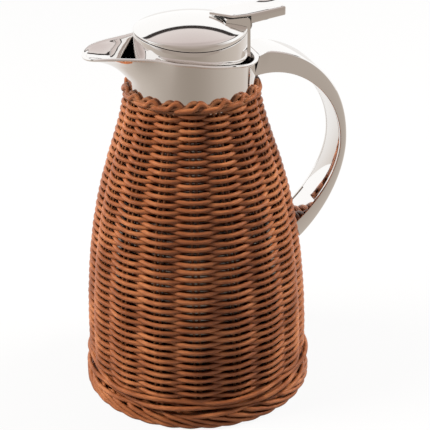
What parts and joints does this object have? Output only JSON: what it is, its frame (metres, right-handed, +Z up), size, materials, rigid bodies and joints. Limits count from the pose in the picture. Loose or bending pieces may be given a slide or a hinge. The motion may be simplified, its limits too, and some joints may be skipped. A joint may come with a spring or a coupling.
{
  "type": "insulated pouring jug",
  "caption": "Insulated pouring jug in a woven cane sleeve, with a chromed collar and spout, a flip lid worked by a thumb lever, and a band handle.",
  "frame": {"origin": "on the ground under the jug's axis, at the middle of the felt pad", "axes": "+Z up along the jug's axis, -X towards the spout, +X towards the handle"},
  "size_m": [0.1766, 0.152, 0.2571],
  "materials": {
    "cane": "varnished split cane",
    "stake_cane": "varnished round cane",
    "board": "bare plywood",
    "felt": "pressed felt",
    "chrome": "polished",
    "bottle_steel": "bright drawn steel",
    "liner_steel": "satin",
    "dark_plastic": "moulded",
    "silicone": "matt"
  },
  "bodies": {
    "pot": {"felt_pad": "felt", "base_board": "board", "foot_border": "cane", "foot_weave": "cane", "weave_outer": "cane", "weave_inner": "cane", "sleeve_stakes": "stake_cane", "top_border": "cane", "border_core": "stake_cane", "outer_shell": "bottle_steel", "shell_base": "bottle_steel", "evac_plug": "bottle_steel", "getter_disc": "bottle_steel", "inner_liner": "liner_steel", "collar_gasket": "silicone", "collar": "chrome", "seat_ring": "dark_plastic", "handle_shell": "chrome", "handle_cover": "chrome", "handle_stud": "liner_steel", "handle_top_screw": "liner_steel"},
    "seal_ring": {"stopper_seal": "silicone"},
    "lid": {"stopper_plug": "dark_plastic", "lid_skirt": "chrome", "lid_screws": "liner_steel", "hinge_pin": "liner_steel", "hinge_spring": "liner_steel"},
    "cap": {"dome_cap": "chrome", "cap_liner": "dark_plastic", "cap_seal": "silicone", "cap_screws": "liner_steel", "thumb_lever": "chrome", "lever_screw": "liner_steel"}
  },
  "joints": [
    {"name": "stopper_lift", "type": "slide", "parent": "pot", "child": "seal_ring", "axis": [0, 0, 1], "range_m": [0, 0.06]},
    {"name": "stopper_turn", "type": "hinge", "parent": "seal_ring", "child": "lid", "pos_m": [0, 0, 0.2], "axis": [0, 0, 1], "range_deg": [0, 270]},
    {"name": "cap_flip", "type": "hinge", "parent": "lid", "child": "cap", "pos_m": [0.033, 0, 0.2461], "axis": [0, 1, 0], "range_deg": [0, 34], "stiffness_Nm_per_rad": 0.04, "springref_deg": -17.19}
  ]
}
